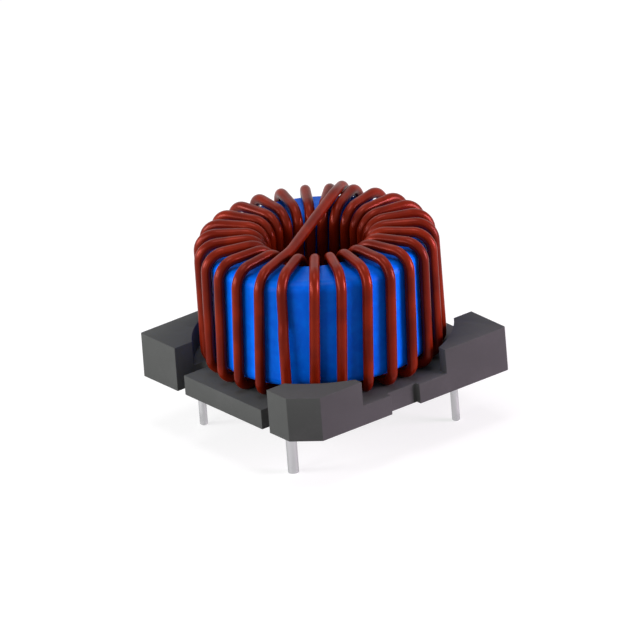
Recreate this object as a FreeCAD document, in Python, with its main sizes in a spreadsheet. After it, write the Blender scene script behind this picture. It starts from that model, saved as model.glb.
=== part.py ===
import FreeCAD, Part
import math
import os
import Sketcher

# A toroidal choke: a coated ring core in one layer of enamelled wire, bonded to a square moulded
# base whose two slots guide the wire ends down beside two mounting pins.
# The origin is the middle of the base's underside, where it meets a circuit board.
# The winding's start is on the -X side, the bevelled corner is at -X -Y, and the pins point down.

# Driving dimensions, in millimetres and degrees
driving = {
    "core_outer_dia": 27.7,
    "core_inner_dia": 14.6,
    "core_height": 14.1,
    "core_edge": 1.2,  # rounding of the coated core's four edges
    "wire_dia": 1.3,
    "wrap_gap": 0.1,  # between the wire and the core's sides and underside
    "top_slack": 0.4,  # between the wire and the core's top
    "turn_gap": 0.2,  # least room between neighbours inside the hole
    "foot_bend": 1.6,  # radius of the wire's bends under the core
    "outer_lean": 4.1,  # how far round an outer run moves from its top to its foot
    "lead_lean": 3.05,  # the same for the two runs that end in a lead
    "lead_room": 0.83,  # how much further apart the turns are on each side of the start lead
    "start_lean": 0.6,  # of the start lead's run, from its foot to the core's top
    "step_lean": 0.2,  # and of that, up to the step where it joins the turns
    "slot_lean": 0.16,  # how far round a lead moves back between the board and its slot's mouth
    "lead_straight": 6.4,  # of a lead, straight from its tip
    "lead_stand_out": 0.38,  # of a lead, past the ring of outer runs
    "jog_drop": 5.85,  # from the top runs down to where a lead steps out
    "jog_rise": 1.6,
    "jog_bend": 4.0,
    "lean_bend": 10.0,
    "crossing_start": 6.4,  # radius where the last turn leaves its radial line
    "crossing_end": 9.3,  # radius where it is highest, between the far turns
    "crossing_lift": 0.98,
    "crossing_aside": 0.55,  # how far round that place is from the outer run that follows
    "crossing_bend": 9.0,
    "base_margin": 0.85,  # from the coil's widest line to the base's sides
    "plate_height": 2.6,
    "block_height": 5.8,
    "cradle_clearance": 0.95,  # from the coil to the corner blocks
    "end_gate": 13.1,  # opening between blocks along the -Y and +Y sides
    "side_gate": 18.4,  # opening between blocks along the -X and +X sides
    "corner_bevel": 3.0,
    "corner_round": 0.3,
    "notch_width": 4.4,
    "notch_depth": 0.75,
    "tin_coat": 0.04,
    "slot_clearance": 0.06,
    "pin_dia": 1.0,
    "pin_length": 6.7,  # below the base, for both pins and both leads
    "pin_tip": 0.15,
    "pin_inset": 5.0,  # from the base's sides to a pin's axis
    "shank_dia": 1.2,
    "shank_length": 2.0,
    "dab_length": 2.6,
    "dab_width": 0.8,
}

# Sizes that follow from them
following = {
    "core_outer": "Sizes.core_outer_dia / 2",
    "core_inner": "Sizes.core_inner_dia / 2",
    "outer_run": "core_outer + Sizes.wrap_gap + Sizes.wire_dia / 2",
    "inner_run": "core_inner - Sizes.wrap_gap - Sizes.wire_dia / 2",
    "bottom_run": "Sizes.plate_height + Sizes.wire_dia / 2",
    "core_foot": "Sizes.plate_height + Sizes.wire_dia + Sizes.wrap_gap",
    "core_top": "core_foot + Sizes.core_height",
    "top_run": "core_top + Sizes.top_slack + Sizes.wire_dia / 2",
    "top_bend": "Sizes.core_edge + Sizes.wire_dia / 2 + Sizes.wrap_gap + Sizes.top_slack",
    "coil_radius": "outer_run + Sizes.wire_dia / 2",
    "half_base": "coil_radius + Sizes.base_margin",
    "cradle_radius": "coil_radius + Sizes.cradle_clearance",
    "lead_dia": "Sizes.wire_dia + 2 * Sizes.tin_coat",
    "slot_radius": "lead_dia / 2 + Sizes.slot_clearance",
    "lead_radius": "outer_run + Sizes.lead_stand_out",
    "lead_y": "Sizes.side_gate / 2 - slot_radius",
    "lead_x": "sqrt(lead_radius * lead_radius - lead_y * lead_y)",
    "block_rise": "Sizes.block_height - Sizes.plate_height",
    "end_gate_side": "Sizes.end_gate / 2",
    "side_gate_side": "Sizes.side_gate / 2",
    "bevel_start": "half_base - Sizes.corner_bevel",
    "notch_side": "Sizes.notch_width / 2",
    "notch_floor": "half_base - Sizes.notch_depth",
    "pin_place": "half_base - Sizes.pin_inset",
    "pin_radius": "Sizes.pin_dia / 2",
    "shank_radius": "Sizes.shank_dia / 2",
}


def vector(x, y, z=0.0):
    return FreeCAD.Vector(x, y, z)


def fill_sheet(doc, name, cells):
    """A sheet of named cells, a label beside each."""
    sheet = doc.addObject("Spreadsheet::Sheet", name)
    for row, (alias, content) in enumerate(cells.items(), start=1):
        sheet.set(f"A{row}", alias)
        sheet.set(f"B{row}", content)
        sheet.setAlias(f"B{row}", alias)
    doc.recompute()
    return sheet


def origin_plane(body, role):
    return next(f for f in body.Origin.OriginFeatures if f.Role == role)


def new_body(doc, label):
    body = doc.addObject("PartDesign::Body", label)
    body.Label = label
    return body


def new_sketch(body, name, plane="XY_Plane", level=None):
    """A sketch on one of the body's own planes, lifted to a level where one is given."""
    sketch = body.newObject("Sketcher::SketchObject", name)
    sketch.AttachmentSupport = [(origin_plane(body, plane), "")]
    sketch.MapMode = "FlatFace"
    if level:
        sketch.setExpression("AttachmentOffset.Base.z", level)
    return sketch


def now(sketch, cell):
    """What a cell of a sheet, such as Follow.lead_x or -Follow.lead_x, holds at present."""
    sheet, alias = cell.lstrip("-").split(".")
    value = float(getattr(sketch.Document.getObject(sheet), alias))
    return -value if cell.startswith("-") else value


def bind(sketch, kind, *where, cell):
    """A dimension of the sketch that follows a cell."""
    place = sketch.addConstraint(Sketcher.Constraint(kind, *where, now(sketch, cell)))
    sketch.setExpression(f"Constraints[{place}]", cell)


def hold_point(sketch, shape, point, x, y):
    """Holds a point of the sketch at distances from its origin."""
    bind(sketch, "DistanceX", -1, 1, shape, point, cell=x)
    bind(sketch, "DistanceY", -1, 1, shape, point, cell=y)


def draw_outline(sketch, corners):
    """A closed outline of straight sides, with each corner held by two cells."""
    points = [vector(now(sketch, x), now(sketch, y)) for x, y in corners]
    for start, end in zip(points, points[1:] + points[:1]):
        sketch.addGeometry(Part.LineSegment(start, end), False)
    for side, (x, y) in enumerate(corners):
        following_side = (side + 1) % len(corners)
        sketch.addConstraint(Sketcher.Constraint("Coincident", side, 2, following_side, 1))
        hold_point(sketch, side, 1, x, y)


def draw_rectangle(sketch, left, right, front, back):
    draw_outline(sketch, [(left, front), (right, front), (right, back), (left, back)])


def draw_circle(sketch, x, y, radius):
    """A circle whose centre is held by two cells, or is the origin where both are None."""
    centre = vector(0, 0) if x is None else vector(now(sketch, x), now(sketch, y))
    circle = sketch.addGeometry(Part.Circle(centre, vector(0, 0, 1), now(sketch, radius)), False)
    bind(sketch, "Radius", circle, cell=radius)
    if x is None:
        sketch.addConstraint(Sketcher.Constraint("Coincident", circle, 3, -1, 1))
    else:
        hold_point(sketch, circle, 3, x, y)


def draw_open_slot(sketch, outer, x, y, radius):
    """A slot with a round end about (x, y), running towards +X as far as outer."""
    centre = vector(now(sketch, x), now(sketch, y))
    half = now(sketch, radius)
    far = now(sketch, outer)
    back_start = vector(far, centre.y + half)
    back_end = vector(centre.x, centre.y + half)
    front_start = vector(centre.x, centre.y - half)
    front_end = vector(far, centre.y - half)
    circle = Part.Circle(centre, vector(0, 0, 1), half)
    back = sketch.addGeometry(Part.LineSegment(back_start, back_end), False)
    end = sketch.addGeometry(Part.ArcOfCircle(circle, math.pi / 2, 3 * math.pi / 2), False)
    front = sketch.addGeometry(Part.LineSegment(front_start, front_end), False)
    mouth = sketch.addGeometry(Part.LineSegment(front_end, back_start), False)
    sketch.addConstraint(Sketcher.Constraint("Tangent", back, 2, end, 1))
    sketch.addConstraint(Sketcher.Constraint("Tangent", end, 2, front, 1))
    sketch.addConstraint(Sketcher.Constraint("Coincident", front, 2, mouth, 1))
    sketch.addConstraint(Sketcher.Constraint("Coincident", mouth, 2, back, 1))
    sketch.addConstraint(Sketcher.Constraint("Horizontal", back))
    sketch.addConstraint(Sketcher.Constraint("Vertical", mouth))
    hold_point(sketch, end, 3, x, y)
    bind(sketch, "Radius", end, cell=radius)
    bind(sketch, "DistanceX", -1, 1, mouth, 1, cell=outer)


def pad(body, sketch, length):
    feature = body.newObject("PartDesign::Pad", sketch.Name + "_pad")
    feature.Profile = sketch
    feature.setExpression("Length", length)
    body.Document.recompute()
    return feature


def cut(body, sketch, depth=None, upward=False):
    """A pocket from the sketch into the body, right through it where no depth is given."""
    before = body.Shape.Volume
    feature = body.newObject("PartDesign::Pocket", sketch.Name + "_cut")
    feature.Profile = sketch
    feature.Reversed = upward
    if depth:
        feature.setExpression("Length", depth)
    else:
        feature.Type = "ThroughAll"
    body.Document.recompute()
    if body.Shape.Volume > before - 1e-3:
        raise RuntimeError(f"{sketch.Name} cut nothing")
    return feature


def upright_edges(shape, places):
    """Names of the edges that stand upright at the given places."""
    found = []
    for number, edge in enumerate(shape.Edges, start=1):
        low, high = edge.Vertexes[0].Point, edge.Vertexes[-1].Point
        upright = math.hypot(low.x - high.x, low.y - high.y) < 1e-6 < abs(low.z - high.z)
        if upright and any(math.hypot(low.x - x, low.y - y) < 1e-3 for x, y in places):
            found.append(f"Edge{number}")
    return found


def circle_edges(shape, level=None):
    """Names of the circular edges, at one level only where one is given."""
    return [
        f"Edge{number}"
        for number, edge in enumerate(shape.Edges, start=1)
        if isinstance(edge.Curve, Part.Circle)
        and (level is None or abs(edge.Curve.Center.z - level) < 1e-6)
    ]


def make_base(doc, follow):
    """The moulded base: a plate with four corner blocks that cradle the coil."""
    body = new_body(doc, "base")
    left, right, top = "-Follow.half_base", "Follow.half_base", "Sizes.block_height"

    footprint = new_sketch(body, "footprint")
    bevel = "-Follow.bevel_start"
    draw_outline(footprint, [(bevel, left), (right, left), (right, right), (left, right), (left, bevel)])
    block = pad(body, footprint, top)

    # The three corners that aren't bevelled
    rounding = body.newObject("PartDesign::Fillet", "corner_rounding")
    reach = follow.half_base
    square_corners = [(reach, -reach), (reach, reach), (-reach, reach)]
    rounding.Base = (block, upright_edges(block.Shape, square_corners))
    rounding.setExpression("Radius", "Sizes.corner_round")
    doc.recompute()

    # What stands above the plate: a round cradle for the coil, open to all four sides
    cradle = new_sketch(body, "cradle", level=top)
    draw_circle(cradle, None, None, "Follow.cradle_radius")
    cut(body, cradle, "Follow.block_rise")
    end_gate = new_sketch(body, "end_gate", level=top)
    draw_rectangle(end_gate, "-Follow.end_gate_side", "Follow.end_gate_side", left, right)
    cut(body, end_gate, "Follow.block_rise")
    side_gate = new_sketch(body, "side_gate", level=top)
    draw_rectangle(side_gate, left, right, "-Follow.side_gate_side", "Follow.side_gate_side")
    cut(body, side_gate, "Follow.block_rise")

    # A wire slot against each corner block: one is drawn, and mirrored to the other three
    wire_slot = new_sketch(body, "wire_slot", level=top)
    draw_open_slot(wire_slot, right, "Follow.lead_x", "Follow.lead_y", "Follow.slot_radius")
    first_slot = cut(body, wire_slot)
    mirrors = []
    for name, role in (("across_x", "YZ_Plane"), ("across_y", "XZ_Plane")):
        mirror = body.newObject("PartDesign::Mirrored", name)
        mirror.MirrorPlane = (origin_plane(body, role), [""])
        mirrors.append(mirror)
    all_slots = body.newObject("PartDesign::MultiTransform", "all_slots")
    all_slots.Originals = [first_slot]
    all_slots.Transformations = mirrors
    body.Tip = all_slots
    doc.recompute()

    # A shallow notch in the middle of the -Y side
    notch = new_sketch(body, "notch", level=top)
    draw_rectangle(notch, "-Follow.notch_side", "Follow.notch_side", left, "-Follow.notch_floor")
    cut(body, notch)

    # Blind holes under two opposite corners, where the pins' shanks are moulded in
    shank_holes = new_sketch(body, "shank_holes")
    draw_circle(shank_holes, "-Follow.pin_place", "Follow.pin_place", "Follow.shank_radius")
    draw_circle(shank_holes, "Follow.pin_place", "-Follow.pin_place", "Follow.shank_radius")
    cut(body, shank_holes, "Sizes.shank_length", upward=True)
    return body


def make_pin(doc, label, x, y):
    """A tinned mounting pin, with a thicker shank inside the base."""
    body = new_body(doc, label)
    shaft_circle = new_sketch(body, label + "_shaft", level="-Sizes.pin_length")
    draw_circle(shaft_circle, None, None, "Follow.pin_radius")
    shaft = pad(body, shaft_circle, "Sizes.pin_length")
    tip = body.newObject("PartDesign::Chamfer", label + "_tip")
    tip.Base = (shaft, circle_edges(shaft.Shape, -doc.Sizes.pin_length))
    tip.setExpression("Size", "Sizes.pin_tip")
    doc.recompute()
    shank_circle = new_sketch(body, label + "_shank")
    draw_circle(shank_circle, None, None, "Follow.shank_radius")
    pad(body, shank_circle, "Sizes.shank_length")
    body.setExpression("Placement.Base.x", x)
    body.setExpression("Placement.Base.y", y)
    return body


def make_core(doc):
    """The ring core: a rounded rectangle turned about the Z axis."""
    body = new_body(doc, "core")
    section = new_sketch(body, "core_section", "XZ_Plane")
    draw_rectangle(section, "Follow.core_inner", "Follow.core_outer", "Follow.core_foot", "Follow.core_top")
    ring = body.newObject("PartDesign::Revolution", "core_ring")
    ring.Profile = section
    ring.ReferenceAxis = (section, ["V_Axis"])
    ring.Angle = 360
    doc.recompute()
    rounding = body.newObject("PartDesign::Fillet", "core_rounding")
    rounding.Base = (ring, circle_edges(ring.Shape))
    rounding.setExpression("Radius", "Sizes.core_edge")
    doc.recompute()
    return body


def count_places(size, follow):
    """How many passes fit side by side in the hole: an odd number, so that the leads are opposite."""
    round_the_hole = 2 * math.pi * follow.inner_run
    fitting = int(round_the_hole / (size.wire_dia + size.turn_gap))
    return fitting if fitting % 2 else fitting - 1


def place_turns(size, follow):
    """The angle of each turn's top run, from the one at the start lead on, and their even pitch."""
    places = count_places(size, follow)
    pitch = (360 - 2 * size.lead_room) / places
    start = 180 + math.degrees(math.atan2(follow.lead_y, follow.lead_x)) + size.lead_lean
    angles = [start] + [start + size.lead_room + place * pitch for place in range(1, places)]
    return angles, pitch


def at(radius, angle, height):
    """A point by its radius, its angle in degrees and its height."""
    return vector(radius * math.cos(math.radians(angle)), radius * math.sin(math.radians(angle)), height)


def winding_corners(size, follow):
    """The wire's course as corners, each with the radius it is bent to, in three stretches.

    They meet in the middle of runs under the core: halfway round, and before the last turn.
    """
    outer, inner = follow.outer_run, follow.inner_run
    top, bottom = follow.top_run, follow.bottom_run
    top_bend, foot_bend = follow.top_bend, size.foot_bend
    angles, pitch = place_turns(size, follow)
    feet = [angle - size.outer_lean for angle in angles]
    finish_angle = math.degrees(math.atan2(follow.lead_y, follow.lead_x))
    start_angle = finish_angle + 180
    tip = -size.pin_length
    straight_end = tip + size.lead_straight
    step_top = top - size.jog_drop
    step_foot = step_top - size.jog_rise

    # From the start lead's tip, up beside the core and over it
    stretches = []
    corners = [
        (at(follow.lead_radius, start_angle, tip), None),
        (at(follow.lead_radius, start_angle, straight_end), size.lean_bend),
        (at(follow.lead_radius, start_angle - size.slot_lean, bottom), size.lean_bend),
        (at(follow.lead_radius, start_angle + size.step_lean, step_foot), size.jog_bend),
        (at(outer, start_angle + size.step_lean, step_top), size.jog_bend),
    ]

    # Over the core, down through the hole and out under the core, turn after turn
    for place, (angle, next_foot) in enumerate(zip(angles, feet[1:])):
        over = start_angle + size.start_lean if place == 0 else angle
        corners += [
            (at(outer, over, top), top_bend),
            (at(inner, angle, top), top_bend),
            (at(inner, next_foot, bottom), foot_bend),
            (at(outer, next_foot, bottom), foot_bend),
        ]
        if place in (len(angles) // 2, len(angles) - 2):
            middle = (at((inner + outer) / 2, next_foot, bottom), None)
            stretches.append(corners[:-1] + [middle])
            corners = [middle, corners[-1]]

    # The last turn crosses the hole, passes between two far turns and goes down to the finish lead
    far = finish_angle + size.lead_lean
    leaning = size.lead_lean / (top - bottom)
    corners += [
        (at(outer, angles[-1], top), top_bend),
        (at(size.crossing_start, angles[-1], top), size.crossing_bend),
        (at(size.crossing_end, far - size.crossing_aside, top + size.crossing_lift), size.crossing_bend),
        (at(outer, far, top), top_bend),
        (at(outer, finish_angle + leaning * (step_top - bottom), step_top), size.jog_bend),
        (at(follow.lead_radius, finish_angle + leaning * (step_foot - bottom), step_foot), size.jog_bend),
        (at(follow.lead_radius, finish_angle - size.slot_lean, bottom), size.lean_bend),
        (at(follow.lead_radius, finish_angle, straight_end), size.lean_bend),
        (at(follow.lead_radius, finish_angle, tip), None),
    ]
    return stretches + [corners]


def bent_line(corners):
    """Straight runs joined by tangent arcs, as one wire."""
    edges = []
    start = corners[0][0]
    for (before, _), (corner, bend), (after, _) in zip(corners, corners[1:], corners[2:]):
        arriving = (corner - before).normalize()
        leaving = (after - corner).normalize()
        half_turn = arriving.getAngle(leaving) / 2
        setback = bend * math.tan(half_turn)
        inward = (leaving - arriving).normalize()
        middle = corner + inward * (bend / math.cos(half_turn) - bend)
        arc_start = corner - arriving * setback
        arc_end = corner + leaving * setback
        edges.append(Part.LineSegment(start, arc_start).toShape())
        edges.append(Part.Arc(arc_start, middle, arc_end).toShape())
        start = arc_end
    edges.append(Part.LineSegment(start, corners[-1][0]).toShape())
    return Part.Wire(edges)


def make_tinned_end(doc, sign):
    """The tin on the wire's end, below the base."""
    tin = doc.addObject("Part::Cylinder", "tin")
    tin.setExpression("Radius", "Follow.lead_dia / 2")
    tin.setExpression("Height", "Sizes.pin_length")
    tin.setExpression("Placement.Base.x", sign + "Follow.lead_x")
    tin.setExpression("Placement.Base.y", sign + "Follow.lead_y")
    tin.setExpression("Placement.Base.z", "-Sizes.pin_length")
    return tin


def make_stretch(doc, label, corners, lead_sign=None):
    """A stretch of the wire, with its end tinned where it has a lead."""
    course = doc.addObject("Part::Feature", label + "_course")
    course.Shape = bent_line(corners)
    section = doc.addObject("Part::Circle", label + "_section")
    section.setExpression("Radius", "Sizes.wire_dia / 2")
    heading = FreeCAD.Rotation(vector(0, 0, 1), corners[1][0] - corners[0][0])
    section.Placement = FreeCAD.Placement(corners[0][0], heading)
    wire = doc.addObject("Part::Sweep", label if lead_sign is None else label + "_wire")
    wire.Sections = [section]
    wire.Spine = (course, [f"Edge{number + 1}" for number in range(len(course.Shape.Edges))])
    wire.Solid = True
    stretch = wire
    if lead_sign is not None:
        stretch = doc.addObject("Part::MultiFuse", label)
        stretch.Shapes = [wire, make_tinned_end(doc, lead_sign)]
    doc.recompute()

    length = course.Shape.Length
    swept = length * math.pi * section.Radius.Value**2
    print(f"{label}: {length:.1f} mm, volume {wire.Shape.Volume:.2f}, section times length {swept:.2f}")
    return stretch


def make_dabs(doc, size, follow):
    """Four dabs of adhesive between the bottom runs, from the plate up to the core."""
    angles, pitch = place_turns(size, follow)
    middle_radius = size.core_outer_dia / 2 - size.core_edge - size.dab_length / 2
    dabs = []
    for quarter in range(4):
        dab = doc.addObject("Part::Box", f"adhesive_dab_{quarter + 1}")
        dab.setExpression("Length", "Sizes.dab_length")
        dab.setExpression("Width", "Sizes.dab_width")
        dab.setExpression("Height", "Sizes.wire_dia + Sizes.wrap_gap")
        after_run = angles[1 + round(quarter * len(angles) / 4)] - size.outer_lean
        turned = FreeCAD.Rotation(vector(0, 0, 1), after_run + pitch / 2)
        corner = turned.multVec(vector(middle_radius - size.dab_length / 2, -size.dab_width / 2))
        dab.Placement = FreeCAD.Placement(corner + vector(0, 0, size.plate_height), turned)
        dabs.append(dab)
    return dabs


def main():
    doc = FreeCAD.newDocument("toroidal_choke")
    size = fill_sheet(doc, "Sizes", {name: str(value) for name, value in driving.items()})
    follow = fill_sheet(doc, "Follow", {name: "=" + formula for name, formula in following.items()})

    first, middle, last = winding_corners(size, follow)
    parts = [
        make_base(doc, follow),
        make_core(doc),
        make_stretch(doc, "winding_start", first, "-"),
        make_stretch(doc, "winding_middle", middle),
        make_stretch(doc, "winding_finish", last, ""),
        make_pin(doc, "mounting_pin_back_left", "-Follow.pin_place", "Follow.pin_place"),
        make_pin(doc, "mounting_pin_front_right", "Follow.pin_place", "-Follow.pin_place"),
    ]
    parts += make_dabs(doc, size, follow)
    doc.recompute()

    for thing in doc.Objects:
        if {"Invalid", "Error"} & set(thing.State):
            raise RuntimeError(f"{thing.Label} failed: {thing.State}")
    for part in parts:
        if part.Shape.isNull() or not part.Shape.isValid():
            raise RuntimeError(f"{part.Label} has no valid shape")

    os.makedirs("parts", exist_ok=True)
    for part in parts:
        part.Shape.exportStep(f"parts/{part.Label}.step")
        print(f"{part.Label}: {len(part.Shape.Solids)} solid, {part.Shape.Volume:.2f} mm3")


main()
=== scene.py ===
import math

import bmesh
import bpy
from mathutils import Matrix, Vector


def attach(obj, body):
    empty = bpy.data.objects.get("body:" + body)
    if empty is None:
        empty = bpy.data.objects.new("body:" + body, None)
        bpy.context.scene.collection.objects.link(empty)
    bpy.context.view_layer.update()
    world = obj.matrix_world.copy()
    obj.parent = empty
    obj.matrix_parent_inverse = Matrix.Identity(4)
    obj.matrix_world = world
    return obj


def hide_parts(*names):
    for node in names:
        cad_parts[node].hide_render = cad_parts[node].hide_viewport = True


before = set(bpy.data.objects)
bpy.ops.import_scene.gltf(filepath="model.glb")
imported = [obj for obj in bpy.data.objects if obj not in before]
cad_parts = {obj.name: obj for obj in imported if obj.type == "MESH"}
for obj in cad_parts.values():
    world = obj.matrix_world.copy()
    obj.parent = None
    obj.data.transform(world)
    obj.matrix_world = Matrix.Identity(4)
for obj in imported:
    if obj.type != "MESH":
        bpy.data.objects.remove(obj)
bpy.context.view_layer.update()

# A toroidal choke: blue coated ring core, one red-brown enamelled wire, dark grey moulded base.
# The solids keep their places. This script gives them their finishes, and gives the base and the
# adhesive the soft edges that the solids leave out. Lengths are in metres, angles in degrees.


def newGroup(name, inputs, outputs):
    group = bpy.data.node_groups.new(name, "ShaderNodeTree")
    for label, value in inputs.items():
        socket = group.interface.new_socket(name=label, in_out="INPUT", socket_type="NodeSocketFloat")
        socket.default_value = value
    for label in outputs:
        group.interface.new_socket(name=label, in_out="OUTPUT", socket_type="NodeSocketFloat")
    return group, group.nodes.new("NodeGroupInput"), group.nodes.new("NodeGroupOutput")


def addNode(tree, kind, at=(0, 0), **settings):
    node = tree.nodes.new(kind)
    node.location = at
    for name, value in settings.items():
        setattr(node, name, value)
    return node


def addMath(tree, operation, *values, at=(0, 0)):
    node = addNode(tree, "ShaderNodeMath", at, operation=operation)
    for socket, value in zip(node.inputs, values):
        if isinstance(value, (int, float)):
            socket.default_value = value
        else:
            tree.links.new(value, socket)
    return node.outputs[0]


def addRamp(tree, source, low, high, at=(0, 0)):
    # 0 up to low, 1 from high on
    ramp = addNode(tree, "ShaderNodeMapRange", at, interpolation_type="SMOOTHSTEP")
    ramp.inputs["From Min"].default_value = low
    ramp.inputs["From Max"].default_value = high
    tree.links.new(source, ramp.inputs["Value"])
    return ramp.outputs["Result"]


def mixColour(tree, factor, first, second, at=(0, 0)):
    mix = addNode(tree, "ShaderNodeMix", at, data_type="RGBA")
    tree.links.new(factor, mix.inputs["Factor"])
    for name, value in (("A", first), ("B", second)):
        socket = [s for s in mix.inputs if s.name == name and s.type == "RGBA"][0]
        if isinstance(value, tuple):
            socket.default_value = value + (1,)
        else:
            tree.links.new(value, socket)
    return [s for s in mix.outputs if s.type == "RGBA"][0]


grainNoise = {
    "fineDetail": 2.0,
    "broadDetail": 3.0,
    "patchStart": 0.35,  # broad noise up to here is outside a patch
    "patchFull": 0.65,
}


def makeGrainGroup(noise):
    # fine texture of a mould or coat, on a slow unevenness
    group, entry, out = newGroup(
        "surfaceGrain",
        {"Fine Scale": 3000.0, "Broad Scale": 300.0, "Broad Share": 0.4},
        ["Height", "Patches"],
    )
    place = addNode(group, "ShaderNodeTexCoord", (-700, 0))
    fine = addNode(group, "ShaderNodeTexNoise", (-450, 150))
    broad = addNode(group, "ShaderNodeTexNoise", (-450, -150))
    for node, scale, detail in ((fine, "Fine Scale", "fineDetail"), (broad, "Broad Scale", "broadDetail")):
        node.inputs["Detail"].default_value = noise[detail]
        group.links.new(place.outputs["Object"], node.inputs["Vector"])
        group.links.new(entry.outputs[scale], node.inputs["Scale"])
    share = entry.outputs["Broad Share"]
    broadPart = addMath(group, "MULTIPLY", broad.outputs["Fac"], share, at=(-200, -150))
    height = addMath(group, "ADD", fine.outputs["Fac"], broadPart, at=(0, 0))
    group.links.new(height, out.inputs["Height"])
    patches = addRamp(group, broad.outputs["Fac"], noise["patchStart"], noise["patchFull"], at=(0, -250))
    group.links.new(patches, out.inputs["Patches"])
    return group


handlingNoise = {
    "detail": 6.0,
    "roughness": 0.7,
    "markStart": 0.48,  # noise up to here is untouched surface
    "markFull": 0.7,
}


def makeHandlingGroup(noise):
    # faint rubbed places
    group, entry, out = newGroup("handlingMarks", {"Scale": 150.0, "Amount": 0.5}, ["Mask"])
    place = addNode(group, "ShaderNodeTexCoord", (-700, 0))
    node = addNode(group, "ShaderNodeTexNoise", (-450, 0))
    node.inputs["Detail"].default_value = noise["detail"]
    node.inputs["Roughness"].default_value = noise["roughness"]
    group.links.new(place.outputs["Object"], node.inputs["Vector"])
    group.links.new(entry.outputs["Scale"], node.inputs["Scale"])
    marks = addRamp(group, node.outputs["Fac"], noise["markStart"], noise["markFull"], at=(-200, 0))
    mask = addMath(group, "MULTIPLY", marks, entry.outputs["Amount"], at=(100, 0))
    group.links.new(mask, out.inputs["Mask"])
    return group


grainGroup = makeGrainGroup(grainNoise)
handlingGroup = makeHandlingGroup(handlingNoise)
print("grain and handling groups")


def placeGroup(tree, group, at, values):
    node = addNode(tree, "ShaderNodeGroup", at, node_tree=group)
    for label, value in values.items():
        node.inputs[label].default_value = value
    return node


def startMaterial(name, look):
    material = bpy.data.materials.new(name)
    material.use_nodes = True
    tree = material.node_tree
    shader = tree.nodes["Principled BSDF"]
    if "specular" in look:
        shader.inputs["Specular IOR Level"].default_value = look["specular"]
    return material, tree, shader


def addBump(tree, shader, height, look, at=(-200, -300)):
    bump = addNode(tree, "ShaderNodeBump", at)
    bump.inputs["Strength"].default_value = look["bumpStrength"]
    bump.inputs["Distance"].default_value = look["bumpDistance"]
    tree.links.new(height, bump.inputs["Height"])
    tree.links.new(bump.outputs["Normal"], shader.inputs["Normal"])


def addRoughness(tree, shader, mask, look, at=(-400, -100)):
    spread = look["dullRoughness"] - look["roughness"]
    rough = addMath(tree, "MULTIPLY_ADD", mask, spread, look["roughness"], at=at)
    tree.links.new(rough, shader.inputs["Roughness"])


baseLook = {
    "colour": (0.074, 0.076, 0.074),
    "worn": (0.092, 0.093, 0.092),
    "roughness": 0.74,
    "dullRoughness": 0.84,
    "specular": 0.08,
    "grain": {"Fine Scale": 5200.0, "Broad Scale": 420.0, "Broad Share": 0.5},
    "marks": {"Scale": 170.0, "Amount": 0.45},
    "bumpStrength": 0.35,
    "bumpDistance": 0.00003,
    "edge": 0.00014,  # how far the moulding's edges are rounded
    "segments": 3,
}


def makeBaseMaterial(look):
    material, tree, shader = startMaterial("mouldedPlastic", look)
    grain = placeGroup(tree, grainGroup, (-700, 100), look["grain"])
    marks = placeGroup(tree, handlingGroup, (-700, -100), look["marks"])
    colour = mixColour(tree, marks.outputs["Mask"], look["colour"], look["worn"], (-400, 200))
    tree.links.new(colour, shader.inputs["Base Color"])
    addRoughness(tree, shader, grain.outputs["Patches"], look)
    addBump(tree, shader, grain.outputs["Height"], look)
    return material


coreLook = {
    "colour": (0.0, 0.175, 1.0),
    "deep": (0.0, 0.14, 0.92),  # where the coat is thicker
    "roughness": 0.38,
    "dullRoughness": 0.5,
    "specular": 0.08,
    "grain": {"Fine Scale": 2600.0, "Broad Scale": 650.0, "Broad Share": 0.9},
    "marks": {"Scale": 220.0, "Amount": 0.6},
    "bumpStrength": 0.3,
    "bumpDistance": 0.00005,
}


def makeCoreMaterial(look):
    material, tree, shader = startMaterial("blueEpoxyCoat", look)
    grain = placeGroup(tree, grainGroup, (-700, 100), look["grain"])
    marks = placeGroup(tree, handlingGroup, (-700, -100), look["marks"])
    colour = mixColour(tree, grain.outputs["Patches"], look["deep"], look["colour"], (-400, 200))
    tree.links.new(colour, shader.inputs["Base Color"])
    addRoughness(tree, shader, marks.outputs["Mask"], look)
    addBump(tree, shader, grain.outputs["Height"], look)
    return material


tinLook = {
    "colour": (0.47, 0.47, 0.48),
    "roughness": 0.24,
    "dullRoughness": 0.4,
    "grain": {"Fine Scale": 1500.0, "Broad Scale": 500.0, "Broad Share": 1.0},
    "bumpStrength": 0.2,
    "bumpDistance": 0.00003,
}


def makeTinMaterial(look):
    material, tree, shader = startMaterial("brightTin", look)
    grain = placeGroup(tree, grainGroup, (-700, 100), look["grain"])
    shader.inputs["Base Color"].default_value = look["colour"] + (1,)
    shader.inputs["Metallic"].default_value = 1.0
    addRoughness(tree, shader, grain.outputs["Patches"], look)
    addBump(tree, shader, grain.outputs["Height"], look)
    return material


wireLook = {
    "colour": (0.19, 0.0122, 0.0018),
    "deep": (0.125, 0.007, 0.0011),  # where the enamel is thicker
    "metallic": 0.2,  # the copper that shows through, all metal on the tinned ends
    "edgeTint": (0.75, 0.75, 0.75),  # dims the pale reflection along a turn's edge
    "roughness": 0.3,
    "dullRoughness": 0.42,
    "specular": 0.1,
    "coat": 0.04,  # the clear enamel, none on the tinned ends
    "coatRoughness": 0.16,
    "grain": {"Fine Scale": 1800.0, "Broad Scale": 260.0, "Broad Share": 1.2},
    "marks": {"Scale": 320.0, "Amount": 0.5},
    "bumpStrength": 0.12,
    "bumpDistance": 0.00003,
    "enamelEnd": 0.00003,  # level where the enamel ends, in the base's slots
    "enamelEdge": 0.0001,  # how ragged that edge is
}


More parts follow.
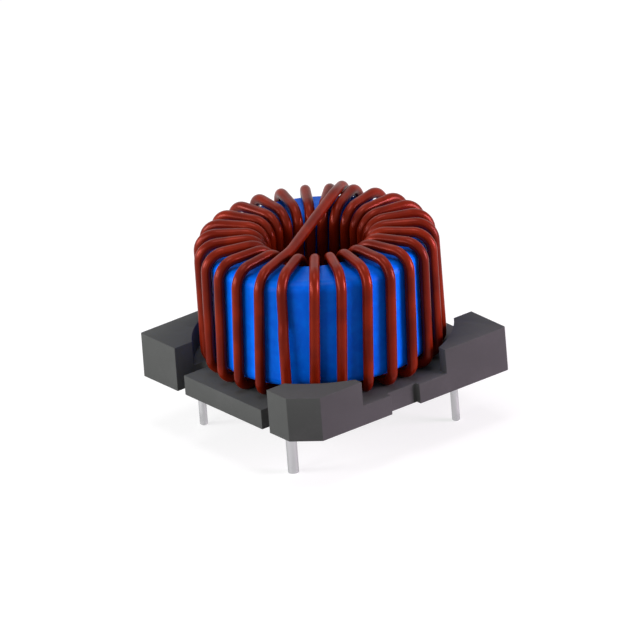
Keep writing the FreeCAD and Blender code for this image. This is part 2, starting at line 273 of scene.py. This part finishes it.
def makeWireMaterial(look, tin):
    material, tree, shader = startMaterial("wireEnamel", look)
    shader.inputs["Specular Tint"].default_value = look["edgeTint"] + (1,)
    shader.inputs["Coat Roughness"].default_value = look["coatRoughness"]
    grain = placeGroup(tree, grainGroup, (-1100, 100), look["grain"])
    marks = placeGroup(tree, handlingGroup, (-1100, -100), look["marks"])

    place = addNode(tree, "ShaderNodeTexCoord", (-1300, -400))
    split = addNode(tree, "ShaderNodeSeparateXYZ", (-1100, -400))
    tree.links.new(place.outputs["Object"], split.inputs[0])
    ragged = addMath(tree, "MULTIPLY", grain.outputs["Patches"], look["enamelEdge"], at=(-900, -300))
    level = addMath(tree, "ADD", split.outputs["Z"], ragged, at=(-750, -350))
    tinned = addMath(tree, "LESS_THAN", level, look["enamelEnd"], at=(-600, -350))
    enamelled = addMath(tree, "SUBTRACT", 1.0, tinned, at=(-450, -400))

    enamel = mixColour(tree, grain.outputs["Patches"], look["deep"], look["colour"], (-600, 250))
    colour = mixColour(tree, tinned, enamel, tin["colour"], (-350, 250))
    tree.links.new(colour, shader.inputs["Base Color"])
    copper = look["metallic"]
    metallic = addMath(tree, "MULTIPLY_ADD", tinned, 1.0 - copper, copper, at=(-350, 50))
    tree.links.new(metallic, shader.inputs["Metallic"])
    coat = addMath(tree, "MULTIPLY", enamelled, look["coat"], at=(-350, -250))
    tree.links.new(coat, shader.inputs["Coat Weight"])
    addRoughness(tree, shader, marks.outputs["Mask"], look)
    addBump(tree, shader, grain.outputs["Height"], look)
    return material


adhesiveLook = {
    "colour": (0.6, 0.53, 0.38),
    "clouded": (0.7, 0.65, 0.54),
    "roughness": 0.22,
    "dullRoughness": 0.34,
    "grain": {"Fine Scale": 900.0, "Broad Scale": 700.0, "Broad Share": 1.0},
    "bumpStrength": 0.25,
    "bumpDistance": 0.00006,
    "edge": 0.0003,  # how far a dab's edges are rounded
    "segments": 4,
}


def makeAdhesiveMaterial(look):
    material, tree, shader = startMaterial("curedAdhesive", look)
    grain = placeGroup(tree, grainGroup, (-700, 100), look["grain"])
    colour = mixColour(tree, grain.outputs["Patches"], look["colour"], look["clouded"], (-400, 200))
    tree.links.new(colour, shader.inputs["Base Color"])
    addRoughness(tree, shader, grain.outputs["Patches"], look)
    addBump(tree, shader, grain.outputs["Height"], look)
    return material


finishes = {  # by the start of a node's name
    "base": makeBaseMaterial(baseLook),
    "core": makeCoreMaterial(coreLook),
    "winding": makeWireMaterial(wireLook, tinLook),
    "mounting_pin": makeTinMaterial(tinLook),
    "adhesive_dab": makeAdhesiveMaterial(adhesiveLook),
}

for node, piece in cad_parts.items():
    finish = next(material for start, material in finishes.items() if node.startswith(start))
    piece.data.materials.clear()
    piece.data.materials.append(finish)
print("finishes on", len(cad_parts), "nodes")

softening = {
    "weld": 1e-7,  # corners nearer than this become one
    "flatWithin": 0.5,  # triangles that meet at less than this become one face
    "sharpFrom": 25,  # edges that turn by more than this are rounded
}


def makeSoftEdged(node, name, look):
    # the node's own mesh, with flat faces in one piece and every sharp edge rounded
    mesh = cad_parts[node].data.copy()
    piece = bpy.data.objects.new(name, mesh)
    bpy.context.collection.objects.link(piece)
    shape = bmesh.new()
    shape.from_mesh(mesh)
    bmesh.ops.remove_doubles(shape, verts=shape.verts, dist=softening["weld"])
    flat = math.radians(softening["flatWithin"])
    bmesh.ops.dissolve_limit(shape, angle_limit=flat, verts=shape.verts, edges=shape.edges)
    for face in shape.faces:
        face.smooth = True
    shape.to_mesh(mesh)
    shape.free()
    bevel = piece.modifiers.new("edges", "BEVEL")
    bevel.width = look["edge"]
    bevel.segments = look["segments"]
    bevel.limit_method = "ANGLE"
    bevel.angle_limit = math.radians(softening["sharpFrom"])
    bevel.harden_normals = True
    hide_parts(node)
    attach(piece, "root")


makeSoftEdged("base", "base_moulding", baseLook)
for number in range(1, 5):
    makeSoftEdged(f"adhesive_dab_{number}", f"adhesive_bead_{number}", adhesiveLook)
print("soft-edged base and adhesive")

white = (1, 1, 1)

studio = {
    "pinLength": 0.0067,  # the floor is where the pins end
    "floorSize": 4,
    "floorColour": (0.35, 0.35, 0.35),
    "floorRoughness": 0.9,
    "floorLift": 0.74,  # added to the floor's own brightness, so that it reads as white paper
    "worldStrength": 0.18,
    "aimHeight": 0.008,  # all lamps point at the middle of the coil
}

lamps = {
    # left and behind, on the left faces
    "key": {"at": (-0.25, 0.16, 0.08), "size": 0.14, "power": 0.72, "colour": white},
    # right and in front, faintly pink
    "fill": {"at": (0.19, -0.22, 0.06), "size": 0.16, "power": 1.18, "colour": (1, 0.78, 0.98)},
    # high behind, along the far turns
    "rim": {"at": (0.06, 0.2, 0.22), "size": 0.16, "power": 0.07, "colour": white},
    # straight from the left, between the upright runs
    "front": {"at": (-0.295, -0.01, 0.085), "size": 0.18, "power": 0.44, "colour": white},
    # overhead, between the top turns
    "top": {"at": (-0.015, -0.02, 0.3), "size": 0.14, "power": 0.28, "colour": white},
}


def seenDirectly(tree):
    # 1 for what the eye, a reflection or a clear part looks at, 0 for the light it gives
    path = addNode(tree, "ShaderNodeLightPath", (-300, 400))
    eye, gloss = path.outputs["Is Camera Ray"], path.outputs["Is Glossy Ray"]
    seen = addMath(tree, "MAXIMUM", eye, gloss, at=(-100, 400))
    return addMath(tree, "MAXIMUM", seen, path.outputs["Is Transmission Ray"], at=(50, 400))


def makeFloor(look):
    bpy.ops.mesh.primitive_plane_add(size=look["floorSize"], location=(0, 0, -look["pinLength"]))
    floor = bpy.context.object
    floor.name = "floor"
    material, tree, shader = startMaterial("paleFloor", {"specular": 0.0})
    shader.inputs["Base Color"].default_value = look["floorColour"] + (1,)
    shader.inputs["Roughness"].default_value = look["floorRoughness"]
    shader.inputs["Emission Color"].default_value = white + (1,)
    lift = addMath(tree, "MULTIPLY", seenDirectly(tree), look["floorLift"], at=(200, 400))
    tree.links.new(lift, shader.inputs["Emission Strength"])
    floor.data.materials.append(material)


def makeWorld(look):
    world = bpy.data.worlds.new("studio")
    bpy.context.scene.world = world
    world.use_nodes = True
    tree = world.node_tree
    background = tree.nodes["Background"]
    background.inputs["Color"].default_value = white + (1,)
    dim = look["worldStrength"]
    strength = addMath(tree, "MULTIPLY_ADD", seenDirectly(tree), 1 - dim, dim, at=(200, 400))
    tree.links.new(strength, background.inputs["Strength"])


def makeLight(name, look, aimHeight):
    lamp = bpy.data.lights.new(name, "AREA")
    lamp.shape = "DISK"
    lamp.size = look["size"]
    lamp.energy = look["power"]
    lamp.color = look["colour"]
    holder = bpy.data.objects.new(name, lamp)
    bpy.context.collection.objects.link(holder)
    holder.location = look["at"]
    aim = Vector((0, 0, aimHeight)) - holder.location
    holder.rotation_euler = aim.to_track_quat("-Z", "Y").to_euler()


makeFloor(studio)
makeWorld(studio)
for name, look in lamps.items():
    makeLight(name, look, studio["aimHeight"])
print("floor, world and", len(lamps), "lamps")

photoView = {
    "azimuth": -36.3,
    "elevation": 23.9,
    "leanLeft": 4.508,
    "width": 0.0789,
    "right": 0.00077,  # how far the base's centre lies right of the picture's middle
    "below": 0.00649,  # and below it
    "distance": 0.4,
}


def makeCamera(view):
    azimuth, elevation = math.radians(view["azimuth"]), math.radians(view["elevation"])
    lean = math.radians(view["leanLeft"])
    right = Vector((math.cos(azimuth), math.sin(azimuth), 0))
    front = Vector((math.sin(azimuth), -math.cos(azimuth), 0))
    back = front * math.cos(elevation) + Vector((0, 0, math.sin(elevation)))
    up = back.cross(right)
    leanRight = right * math.cos(lean) - up * math.sin(lean)
    leanUp = right * math.sin(lean) + up * math.cos(lean)
    lens = bpy.data.cameras.new("camera")
    lens.type = "ORTHO"
    lens.ortho_scale = view["width"]
    camera = bpy.data.objects.new("camera", lens)
    bpy.context.collection.objects.link(camera)
    place = back * view["distance"] - leanRight * view["right"] + leanUp * view["below"]
    turned = Matrix((leanRight, leanUp, back)).transposed().to_4x4()
    camera.matrix_world = Matrix.Translation(place) @ turned
    bpy.context.scene.camera = camera


makeCamera(photoView)
bpy.context.scene.view_settings.view_transform = "Standard"
print("camera")
